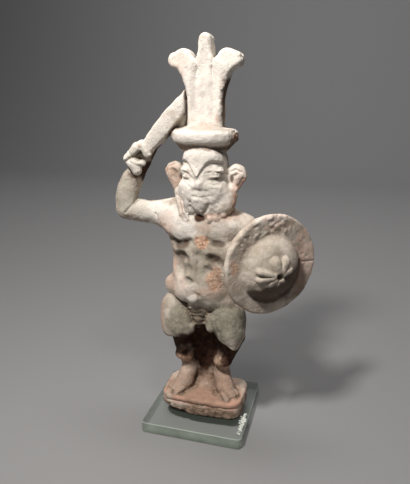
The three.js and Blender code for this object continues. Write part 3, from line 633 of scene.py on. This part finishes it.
def halved(values, axis):
    """The values with one more between each two neighbours along this axis."""
    values = np.moveaxis(values, axis, 0)
    between = (values[:-1] + values[1:]) / 2
    finer = np.empty((2 * len(values) - 1, *values.shape[1:]), np.float32)
    finer[0::2] = values
    finer[1::2] = between
    return np.moveaxis(finer, 0, axis)


def sample(field, low, high, cell):
    """The field on a grid: everywhere in wide steps, then in steps half as wide near the surface."""
    step = cell * 2 ** HALVINGS
    counts = np.ceil((high - low) / step).astype(int) + 1
    values = np.zeros(counts, np.float32)
    for halving in range(HALVINGS + 1):
        reach = step * DIAGONAL + NEAR
        at = np.nonzero(np.abs(values) < reach)
        places = low[:, None] + np.stack(at) * step
        values[at] = np.clip(field(places), -2 * reach, 2 * reach)
        if halving < HALVINGS:
            for axis in range(3):
                values = halved(values, axis)
            step /= 2
    return np.ascontiguousarray(values)


# Paint: how much of each coat lies at each point of the finished mesh

COATS = {
    # coat: its places, each with a centre, radii and strength
    "cream": (
        ((0, -6, 290), (42, 24, 46), 1.0), ((0, -12, 244), (33, 26, 14), 1.0),
        ((0, -14, 228), (28, 20, 18), 0.95), ((0, -18, 200), (30, 20, 26), 0.65),
        ((-30, -8, 176), (38, 16, 14), 0.8), ((-17, -14, 165), (20, 16, 14), 0.7),
        ((20, -14, 168), (20, 14, 12), 0.5), ((-62, -10, 184), (20, 14, 12), 0.5),
        ((-4.4, -25, 103.4), (5.4, 6, 4.8), 1.0),
        ((62, -14, 180), (28, 18, 8), 0.5), ((94, 14, 140), (14, 18, 34), 0.4),
        ((28, -4, 210), (12, 12, 14), 0.6),
        ((-40, -8, 250), (28, 12, 32), 0.75), ((-60, -12, 224), (16, 14, 18), 0.8),
        ((-72, -10, 196), (14, 12, 22), 0.3), ((-14, -22, 114), (14, 10, 12), 0.35),
    ),
    "pink": (
        ((-22, -8, 300), (14, 14, 18), 0.4), ((-26, -8, 167), (18, 14, 16), 0.45),
        ((-31, -6, 124), (12, 14, 22), 0.45), ((-20, -20, 112), (14, 10, 12), 0.35),
        ((-39, -10, 80), (8, 14, 24), 0.7), ((16, -10, 176), (18, 14, 8), 0.5),
        ((32, -6, 196), (9, 12, 16), 0.6), ((32, -4, 210), (10, 10, 14), 0.4),
        ((-28, -4, 208), (9, 10, 13), 0.42), ((15, -16, 177.5), (16, 8, 5.5), 0.5),
        ((-17, -14, 186), (5, 8, 12), 0.4), ((6, -14, 169), (16, 10, 8), 0.45),
        ((92, 10, 138), (16, 20, 36), 0.5), ((60, -8, 178), (30, 18, 10), 0.4),
        ((30, -26, 140), (8, 14, 30), 0.4),
        ((0, -12, 4), (50, 34, 16), 0.5), ((-22, -8, 16), (14, 20, 24), 0.5),
        ((20, -8, 16), (14, 20, 22), 0.6), ((0, -14, 256), (22, 14, 8), 0.3),
        ((12, -20, 110), (16, 10, 8), 0.4), ((-22, -6, 205), (6, 8, 8), 0.5),
        ((-26, -12, 150), (10, 12, 12), 0.4),
    ),
    "deposit": (
        ((-14, -18, 148), (24, 14, 13), 0.55), ((14, -20, 148), (18, 14, 13), 0.55),
        ((0, -22, 128), (16, 10, 18), 0.5), ((14, -20, 101), (22, 12, 12), 0.5),
        ((22, -16, 82), (26, 18, 26), 0.95), ((-18, -20, 78), (14, 14, 20), 0.85),
        ((-1.6, -20, 84), (13, 12, 14), 0.9),
        ((-26, -18, 94), (14, 12, 8), 0.4), ((20, -18, 164), (20, 12, 12), 0.45),
        ((60, -28, 144), (24, 18, 26), 0.45), ((36, -10, 118), (14, 30, 26), 0.3),
        ((-72, -6, 198), (14, 14, 24), 0.4), ((-60, -10, 220), (16, 14, 16), 0.15),
        ((-36, -10, 250), (26, 12, 28), 0.3), ((2, -22, 190), (14, 10, 16), 0.25),
        ((-64, -6, 176), (22, 12, 12), 0.35), ((12, -20, 203), (14, 12, 14), 0.4),
        ((-73, -7, 192), (14, 14, 26), 0.6), ((-60, -10, 174), (18, 12, 10), 0.45),
        ((-60, -14, 226), (12, 12, 14), 0.35),
    ),
    # burial earth, and also painted shade under the crown's bowl and brim, on the crown's right side, on
    # the shins and round the ankles
    "earth_and_shade": (
        ((0, 0, -13), (60, 44, 10), 1.0), ((62, -10, 137), (54, 44, 54), 0.15),
        ((40, -20, 104), (26, 26, 14), 0.4), ((0, -10, 6), (50, 36, 18), 0.6),
        ((-20, -18, 78), (16, 16, 20), 0.25), ((6, -14, 251.5), (24, 12, 5), 0.55),
        ((0, -6, 34), (36, 24, 18), 0.9), ((14, -12, 258), (6, 8, 8), 0.6),
        ((17.5, 2, 272), (5, 12, 32), 1.0), ((0, -2, 236), (34, 26, 4), 0.9),
        ((-26, 0, 46), (16, 16, 18), 0.8), ((26, 0, 46), (18, 18, 22), 0.8),
        ((0, -20, 86), (14, 12, 12), 0.45), ((-36, 0, 240), (30, 9, 34), 0.2),
        ((29, -2, 241), (8, 16, 9), 0.7), ((-28, 0, 245), (8, 14, 8), 0.4),
        ((17, -6, 276), (4, 9, 24), 0.4),
        ((-40, -4, 60), (8, 14, 10), 0.6), ((-26.5, -7, 212.6), (4.5, 4, 4), 0.7),
    ),
    "bare": (
        ((2.7, -20, 156.3), (8, 9, 7.5), 0.8), ((15.2, -22, 123), (8.6, 9, 16), 0.7),
        ((-41, -10, 78), (3.4, 10, 20), 0.5), ((34.5, -37, 141), (5.5, 7, 10), 0.7),
        ((-20.7, -14, 253), (6, 7, 3.4), 0.6),
        ((-20, -8, 34), (13, 10, 9), 0.7), ((-24, -14, 12), (12, 16, 14), 0.3),
        ((18, -8, 32), (12, 9, 9), 0.5), ((28, -8, 186), (5, 9, 12), 0.45),
        ((-31, -4, 100), (6, 10, 3), 0.4), ((-56, -8, 236), (4, 7, 4), 0.5),
        ((29, -6, 243), (5, 12, 8), 0.7), ((0, -6, 14), (12, 14, 10), 0.35),
    ),
    # painted shade over dark dirt: between the legs, behind the fist and sword, under the brim, on the
    # crown's right side, in the eyes, pits and throat, under the chest and at the plinth's broken foot
    "painted_shade_and_soot": (
        ((0, -4, 56), (42, 26, 20), 1.0), ((0, 4, 40), (16, 16, 26), 1.0),
        ((-28, -2, 52), (14, 16, 15), 0.85), ((28, -2, 46), (18, 18, 20), 0.95),
        ((0, -14, 70), (12, 12, 8), 0.75), ((-58, 1, 214), (10, 8, 12), 0.9),
        ((-46, 3, 230), (12, 7, 12), 0.9), ((-30, 4, 247), (14, 7, 10), 0.9),
        ((-66, -3, 208.6), (8, 7, 4), 0.7), ((16, -8, 233), (10, 16, 5), 0.5),
        ((17.5, 2, 286), (6, 11, 20), 0.6), ((13, -18, 210.6), (8, 6, 2.6), 0.55),
        ((-0.6, -21, 211), (3.4, 5, 2.6), 0.45),
        ((-10, -18, 211), (5, 6, 2.2), 0.35),
        ((0.6, -16, 176), (6, 8, 3.6), 0.9), ((-19.5, -9, 209.8), (3.6, 6, 4.4), 0.75),
        ((25.2, -7.4, 208.6), (2.6, 4, 4.4), 0.7),
        ((29, -2, 239), (7, 14, 7), 0.5), ((-38, -26, -13), (14, 10, 5), 0.6),
        ((79, 0, 116), (22, 22, 20), 0.5), ((-21, -17, 152), (12, 10, 6), 0.65),
        ((-19, -20, 141), (9, 9, 6.4), 0.55), ((13.5, -22, 142), (8.4, 9, 5.6), 0.65),
        ((-1.6, -20, 84), (11, 12, 12), 0.42), ((12, -20, 134), (5, 8, 4), 0.4),
        ((17, -20, 154.6), (10, 9, 4), 0.6), ((1, -26, 108), (4.5, 4, 3), 0.3),
    ),
}
HOLLOW_STEPS = (2.0, 5.0, 10.0)  # how far out from the surface the sculpt is felt for a wall
RUB_DEPTH = 2.2  # how far in it is felt for an edge


def painted(p, zones, turn):
    """The amount of a coat at each point, with a ragged edge to every place."""
    ragged = 0.26 * noise(p, 8, turn) + 0.14 * noise(p, 3.4, turn + 1)
    amount = np.zeros(p.shape[1])
    for centre, radii, strength in zones:
        away = from_zone(p, centre, radii) + ragged
        amount = np.maximum(amount, strength * (1 - ramp(away, 0.6, 1.15)))
    return amount


def hollowness(p, normals):
    """From 0 in the open to 1 deep in a hollow."""
    shut = 0
    for step in HOLLOW_STEPS:
        shut = shut + np.clip(1 - clay(p + normals * step) / step, 0, 1)
    return shut / len(HOLLOW_STEPS)


def sharpness(p, normals):
    """From 0 on flat ground to 1 on a sharp edge, where handling rubs the slip away."""
    return np.clip(1 + body(p - normals * RUB_DEPTH) / RUB_DEPTH, 0, 1)


def painted_boss_shade(p):
    """From 0 to 1 on the lower side of the boss and just below it, where the boss's shade is painted dark.
    """
    across, out, up = shield_place(p)
    low = ramp(0.45 * across - up + 1.6 * noise(p, 7, 41), 4, 10)
    return low * (1 - ramp(np.hypot(across, up + 5), 28, 31)) * ramp(out, 0, 2)


def paint(mesh):
    """Writes the amount of each coat at each point into a layer of the mesh."""
    flat = np.empty(3 * len(mesh.vertices))
    mesh.vertices.foreach_get("co", flat)
    p = flat.reshape(-1, 3).T / MM - ORIGIN[:, None]
    mesh.vertices.foreach_get("normal", flat)
    normals = flat.reshape(-1, 3).T.copy()
    hollow = hollowness(p, normals)
    sharp = sharpness(p, normals)
    coats = {name: painted(p, zones, 20 + 2 * turn) for turn, (name, zones) in enumerate(COATS.items())}
    behind = ramp(p[1], -2, 8) * ramp(normals[1], -0.3, 0.3) * ramp(p[2], -8, 10)
    # deposit and earth gather in hollows, partly as burial dirt and partly as painted shade
    coats["deposit"] = np.maximum(coats["deposit"], 0.45 * behind) + 0.35 * ramp(hollow, 0.15, 0.6)
    low_down = ramp(-p[2], -30, -15)
    coats["earth_and_shade"] += 0.35 * ramp(hollow, 0.3, 0.8) + 0.6 * ramp(hollow, 0.1, 0.4) * low_down
    coats["pink"] += 0.35 * ramp(sharp, 0.3, 0.7)
    # painted shade, less on faces turned to the back, and painted dark deep in hollows
    coats["painted_shade_and_soot"] = np.maximum(coats["painted_shade_and_soot"] * (1 - 0.7 * behind), 0.5 * ramp(hollow, 0.6, 0.95))
    # painted shade under the shield's boss
    coats["painted_shade_and_soot"] = np.maximum(coats["painted_shade_and_soot"], 0.7 * painted_boss_shade(p))
    for name, amount in coats.items():
        layer = mesh.attributes.new(name, "FLOAT", "POINT")
        layer.data.foreach_set("value", np.clip(amount, 0, 1).astype(np.float32))


# Mesh of the figure

MARGIN = 3.0  # of the grid round the figure's own box
MOST_TRIANGLES = 190_000


def skin(field, low, high, cell):
    """The surface where the field is zero, as points and faces of four corners."""
    values = sample(field, low, high, cell)
    grid = openvdb.FloatGrid(background=FAR)
    grid.copyFromArray(values, tolerance=0)
    points, _, quads = grid.convertToPolygons(isovalue=0.0, adaptivity=0.0)
    return low + points * cell, quads


def new_object(name, data):
    made = bpy.data.objects.new(name, data)
    bpy.context.scene.collection.objects.link(made)
    return made


def new_mesh(name, points, faces):
    """An object with a mesh of these points and faces."""
    mesh = bpy.data.meshes.new(name)
    mesh.from_pydata(points, [], faces)
    return new_object(name, mesh)


def thin(piece, most):
    """Folds away the edges that change the surface least, until it has at most this many triangles."""
    count = sum(len(face.vertices) - 2 for face in piece.data.polygons)
    modifier = piece.modifiers.new("thin", "DECIMATE")
    modifier.ratio = min(1.0, most / count)
    modifier.use_collapse_triangulate = True
    result = bpy.data.meshes.new_from_object(piece.evaluated_get(bpy.context.evaluated_depsgraph_get()))
    piece.modifiers.clear()
    piece.data = result


def build_figure():
    points, quads = skin(clay, FIGURE_LOW - ORIGIN - MARGIN, FIGURE_HIGH - ORIGIN + MARGIN, CELL)
    piece = new_mesh("terracotta_figure", ((points + ORIGIN) * MM).tolist(), quads.tolist())
    piece.data.validate()
    thin(piece, MOST_TRIANGLES)
    piece.data.shade_smooth()
    paint(piece.data)
    return piece


# Glass plate: square, with rounded corners and narrow ground arrises

GLASS_CORNER = 4.0
GLASS_ARRIS = 0.6
CORNER_STEPS = 6
CLEAR, CUT, ARRIS, CRUMB = range(4)  # the plate's finishes


def rounded_square(low, high, corner, level):
    """Points round the plate's outline at one level, counterclockwise."""
    points = []
    corners = ((high[0], high[1]), (low[0], high[1]), (low[0], low[1]), (high[0], low[1]))
    for number, (cx, cy) in enumerate(corners):
        cx -= math.copysign(corner, cx)
        cy -= math.copysign(corner, cy)
        for step in range(CORNER_STEPS + 1):
            turn = math.pi / 2 * (number + step / CORNER_STEPS)
            points.append((cx + corner * math.cos(turn), cy + corner * math.sin(turn), level))
    return points


CRUMB_OUTLINE = ((0, 1.0), (0.9, 0.7), (1.7, 1.1), (2.7, 0.8), (3.6, 1.1), (4.5, 0.75), (5.4, 1.05))
CRUMBS = 110
CRUMBS_ACROSS = 44.2  # how far to the right the band lies
CRUMBS_FRONT = -40.0
CRUMBS_LENGTH = 32.0
CRUMB_SIZES = (0.3, 1.3)
CRUMB_HEIGHTS = (0.08, 0.35)
CRUMB_GAP = 0.02  # between the crumbs' edges and the glass


def crumbs():
    """Whitish crumbs stuck in a band along the right edge: the place, size and height of each."""
    pick = np.random.default_rng(5)
    for _ in range(CRUMBS):
        along = pick.beta(1.4, 1.4)
        place = (CRUMBS_ACROSS + pick.normal(), CRUMBS_FRONT + CRUMBS_LENGTH * along)
        yield place, pick.uniform(*CRUMB_SIZES), pick.uniform(*CRUMB_HEIGHTS)


def build_glass():
    levels = ((GLASS_ARRIS, GLASS_LOW[2]), (0, GLASS_LOW[2] + GLASS_ARRIS),
              (0, GLASS_HIGH[2] - GLASS_ARRIS), (GLASS_ARRIS, GLASS_HIGH[2]))
    points = []
    for inset, level in levels:
        points += rounded_square(GLASS_LOW + inset, GLASS_HIGH - inset, GLASS_CORNER - inset / 2, level)
    around = len(points) // len(levels)
    faces = [tuple(reversed(range(around))), tuple(range(3 * around, 4 * around))]
    finishes = [CLEAR, CLEAR]
    for band, finish in enumerate((ARRIS, CUT, ARRIS)):
        for i in range(around):
            a, b = band * around + i, band * around + (i + 1) % around
            faces.append((a, b, b + around, a + around))
            finishes.append(finish)
    for centre, size, height in crumbs():
        start = len(points)
        points.append((*centre, GLASS_HIGH[2] + height))
        points += [(centre[0] + size * reach * math.cos(turn), centre[1] + size * reach * math.sin(turn),
                    GLASS_HIGH[2] + CRUMB_GAP) for turn, reach in CRUMB_OUTLINE]
        for i in range(len(CRUMB_OUTLINE)):
            faces.append((start, start + 1 + i, start + 1 + (i + 1) % len(CRUMB_OUTLINE)))
            finishes.append(CRUMB)
    piece = new_mesh("glass_plate", [tuple(c * MM for c in point) for point in points], faces)
    piece.data.polygons.foreach_set("material_index", finishes)
    return piece


# Materials

GLASS_IOR = 1.52


def linear(hex_code):
    """A colour from its sRGB hex value, as the shader's linear numbers."""
    parts = [int(hex_code[i:i + 2], 16) / 255 for i in (0, 2, 4)]
    return (*(c / 12.92 if c <= 0.04045 else ((c + 0.055) / 1.055) ** 2.4 for c in parts), 1.0)


def node(tree, kind, settings=None, inputs=None):
    """Adds a node with its settings; an input is a value, or the socket that feeds it."""
    made = tree.nodes.new(kind)
    for name, value in (settings or {}).items():
        setattr(made, name, value)
    for key, value in (inputs or {}).items():
        if isinstance(value, bpy.types.NodeSocket):
            tree.links.new(value, made.inputs[key])
        else:
            made.inputs[key].default_value = value
    return made


def lay(under, share, over, blend="MIX"):
    """Lays one colour over another by this share, which is a socket."""
    return node(share.id_data, "ShaderNodeMix", {"data_type": "RGBA", "blend_type": blend},
                {0: share, 6: under, 7: over}).outputs[2]


def new_material(name, values):
    """A material, its nodes and its shader, which has these plain values."""
    material = bpy.data.materials.new(name)
    material.use_nodes = True
    shader = material.node_tree.nodes["Principled BSDF"]
    for socket, value in values.items():
        shader.inputs[socket].default_value = value
    return material, material.node_tree, shader


def fired_terracotta():
    """Worn white slip over fired clay, greened and browned by burial, with bare clay showing through and
    shade painted dark into hollows and under overhangs.

    Finer noise breaks up the painted coats, so that their edges look scuffed and not airbrushed.
    """
    matt = {"Roughness": 0.88, "Specular IOR Level": 0.25}
    material, tree, shader = new_material("fired_terracotta", matt)
    place = node(tree, "ShaderNodeTexCoord").outputs["Object"]

    def speckle(size, detail=3.0):
        """Noise round 0.5 with patches of this size in millimetres."""
        made = node(tree, "ShaderNodeTexNoise", {"noise_dimensions": "3D"},
                    {"Vector": place, "Scale": 1 / (size * MM), "Detail": detail, "Roughness": 0.6})
        return made.outputs["Fac"]

    def maths(operation, a, b):
        return node(tree, "ShaderNodeMath", {"operation": operation}, {0: a, 1: b}).outputs["Value"]

    def between(value, low, high, most=1.0):
        """0 below low, and up to the most at high."""
        made = node(tree, "ShaderNodeMapRange", {"interpolation_type": "SMOOTHSTEP"},
                    {"Value": value, "From Min": low, "From Max": high, "To Max": most})
        return made.outputs["Result"]

    def painted_amount(name):
        return node(tree, "ShaderNodeAttribute", {"attribute_name": name}).outputs["Fac"]

    def coat(name, grain, break_up, low, high):
        """Where a coat lies, from 0 to 1: its painted amount, roughened by the grain."""
        rough = maths("MULTIPLY", maths("SUBTRACT", grain, 0.5), break_up)
        return between(maths("ADD", painted_amount(name), rough), low, high)

    broad, mid, fine, grit = speckle(13), speckle(5), speckle(1.7), speckle(0.8, 2.0)
    broad_spots, spots, fine_spots = (between(grain, 0.35, 0.65) for grain in (broad, mid, fine))
    # the slip, uneven from place to place: the eye should read chalk rubbed thin over clay
    colour = lay(linear("b5a697"), broad_spots, linear("d3c7b9"))
    colour = lay(colour, coat("cream", mid, 0.5, 0.05, 0.75), linear("e5ddd3"))
    colour = lay(colour, coat("pink", mid, 0.8, 0.1, 1.1), linear("cf9d86"))
    green = lay(linear("7f7a6b"), spots, linear("9b9585"))
    colour = lay(colour, coat("deposit", mid, 0.9, 0.1, 1.0), green)
    # burial earth, also laid as painted shade in places
    earth_and_shade = lay(linear("75604f"), spots, linear("a68d79"))
    colour = lay(colour, coat("earth_and_shade", mid, 0.6, 0.1, 1.1), earth_and_shade)
    orange = lay(linear("b27f60"), fine_spots, linear("d6b49a"))
    colour = lay(colour, coat("bare", fine, 0.7, 0.15, 0.95), orange)
    # mottling, and pale and dark specks, the size of coarse sand
    colour = lay(colour, between(mid, 0.5, 0.3, 0.22), linear("8d7c6d"), "MULTIPLY")
    colour = lay(colour, between(fine, 0.58, 0.72, 0.45), linear("ded3c3"))
    colour = lay(colour, between(grit, 0.4, 0.26, 0.55), linear("66554a"))
    # painted shade, dark brown over dark dirt, in hollows and under overhangs
    painted_shade_and_soot = lay(linear("2f1c14"), spots, linear("54382a"))
    colour = lay(colour, coat("painted_shade_and_soot", mid, 0.3, 0.05, 0.95), painted_shade_and_soot)
    tree.links.new(colour, shader.inputs["Base Color"])
    # sandy grain, stronger where the skin of the clay is lost
    worn = maths("MAXIMUM", painted_amount("bare"), painted_amount("earth_and_shade"))
    height = maths("ADD", fine, maths("MULTIPLY", grit, 0.6))
    strength = maths("MULTIPLY", maths("ADD", worn, 1.0), 0.5)
    bump = node(tree, "ShaderNodeBump", {}, {"Distance": 1.0 * MM, "Height": height, "Strength": strength})
    tree.links.new(bump.outputs["Normal"], shader.inputs["Normal"])
    return material


def float_glass():
    """The clear faces of old float glass: the paper shows through, a little greyed and greened."""
    return new_material("float_glass", {"Base Color": linear("9fada1"), "Alpha": 0.12,
                                        "Roughness": 0.06, "IOR": GLASS_IOR})[0]


def cut_edge():
    """The sides, which read pale green, because the eye looks through the plate's whole width."""
    material, tree, shader = new_material("cut_edge", {"Alpha": 0.7, "Roughness": 0.12, "IOR": GLASS_IOR})
    place = node(tree, "ShaderNodeTexCoord").outputs["Object"]
    cloud = node(tree, "ShaderNodeTexNoise", {}, {"Vector": place, "Scale": 1 / (16 * MM), "Detail": 2.0})
    green = lay(linear("5f7062"), cloud.outputs["Fac"], linear("b9c6b4"))
    tree.links.new(green, shader.inputs["Base Color"])
    return material


def ground_arris():
    """The narrow ground slopes along the edges, which catch the light as thin bright lines."""
    return new_material("ground_arris", {"Base Color": linear("b4c2b6"), "Alpha": 0.5,
                                         "Roughness": 0.35, "IOR": GLASS_IOR})[0]


def old_crumbs():
    """Dry whitish crumbs of old glue and scuffed glass."""
    return new_material("old_crumbs", {"Base Color": linear("d9dcd4"), "Roughness": 0.8})[0]


# Studio, in metres

FLOOR_GAP = 0.0004  # keeps the paper clear of the plate's underside
CHEST = (0, 0, 0.2)


def build_stage():
    """A pale paper sweep: flat under the figure and curving up behind it."""
    half, floor_front, floor_back, radius, top, turns = 4.0, -3.0, 1.4, 0.9, 3.0, 16
    profile = [(floor_front, 0.0), (floor_back, 0.0)]
    for i in range(1, turns + 1):
        angle = math.pi / 2 * i / turns
        profile.append((floor_back + radius * math.sin(angle), radius * (1 - math.cos(angle))))
    profile.append((floor_back + radius, top))
    points = [(x, y, z - FLOOR_GAP) for y, z in profile for x in (-half, half)]
    faces = [(2 * i, 2 * i + 1, 2 * i + 3, 2 * i + 2) for i in range(len(profile) - 1)]
    sweep = new_mesh("paper_sweep", points, faces)
    sweep.data.shade_smooth()
    paper = {"Base Color": linear("8c8b8b"), "Roughness": 0.85}
    sweep.data.materials.append(new_material("matt_paper", paper)[0])


def add_light(name, place, target, size, power, colour):
    data = bpy.data.lights.new(name, "AREA")
    data.shape = "DISK"
    data.size = size
    data.energy = power
    data.color = colour
    light = new_object(name, data)
    light.location = place
    light.rotation_euler = (Vector(target) - Vector(place)).to_track_quat("-Z", "Y").to_euler()


def from_chest(azimuth, elevation, distance):
    """A place seen from the chest; azimuth 0 is in front, and it grows to the right."""
    turn, rise = math.radians(azimuth), math.radians(elevation)
    return (distance * math.sin(turn) * math.cos(rise), -distance * math.cos(turn) * math.cos(rise),
            CHEST[2] + distance * math.sin(rise))


def build_lights():
    add_light("key", from_chest(-18, 54, 0.6), CHEST, 0.09, 4.6, (1.0, 0.97, 0.935))
    add_light("fill", from_chest(34, 58, 1.0), CHEST, 0.2, 1.6, (1.0, 0.97, 0.94))
    add_light("backdrop", (0.0, 0.35, 1.9), (0.0, 2.2, 0.7), 1.2, 26, (1.0, 1.0, 1.0))
    world = bpy.data.worlds.new("studio")
    world.use_nodes = True
    world.node_tree.nodes["Background"].inputs["Color"].default_value = (0.8, 0.8, 0.84, 1)
    world.node_tree.nodes["Background"].inputs["Strength"].default_value = 0.07
    bpy.context.scene.world = world


CAMERA_AT = (0.1178, -0.4105, 0.3027)
CAMERA_AZIMUTH = math.radians(15.85)
CAMERA_DOWN = math.radians(16.43)
FOCAL_PIXELS = 490
IMAGE_HEIGHT = 484
SENSOR = 36.0


def build_camera():
    data = bpy.data.cameras.new("camera")
    data.sensor_width = SENSOR
    data.lens = SENSOR * FOCAL_PIXELS / IMAGE_HEIGHT
    data.clip_start = 0.01
    camera = new_object("camera", data)
    camera.location = CAMERA_AT
    camera.rotation_euler = (math.pi / 2 - CAMERA_DOWN, 0, CAMERA_AZIMUTH)
    bpy.context.scene.camera = camera


build_stage()
build_lights()
build_camera()
bpy.context.scene.view_settings.view_transform = "Standard"

figure = build_figure()
figure.data.materials.append(fired_terracotta())
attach(figure, "root")
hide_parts("bes_figure")

plate = build_glass()
for finish in (float_glass(), cut_edge(), ground_arris(), old_crumbs()):
    plate.data.materials.append(finish)
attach(plate, "root")
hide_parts("glass_base")
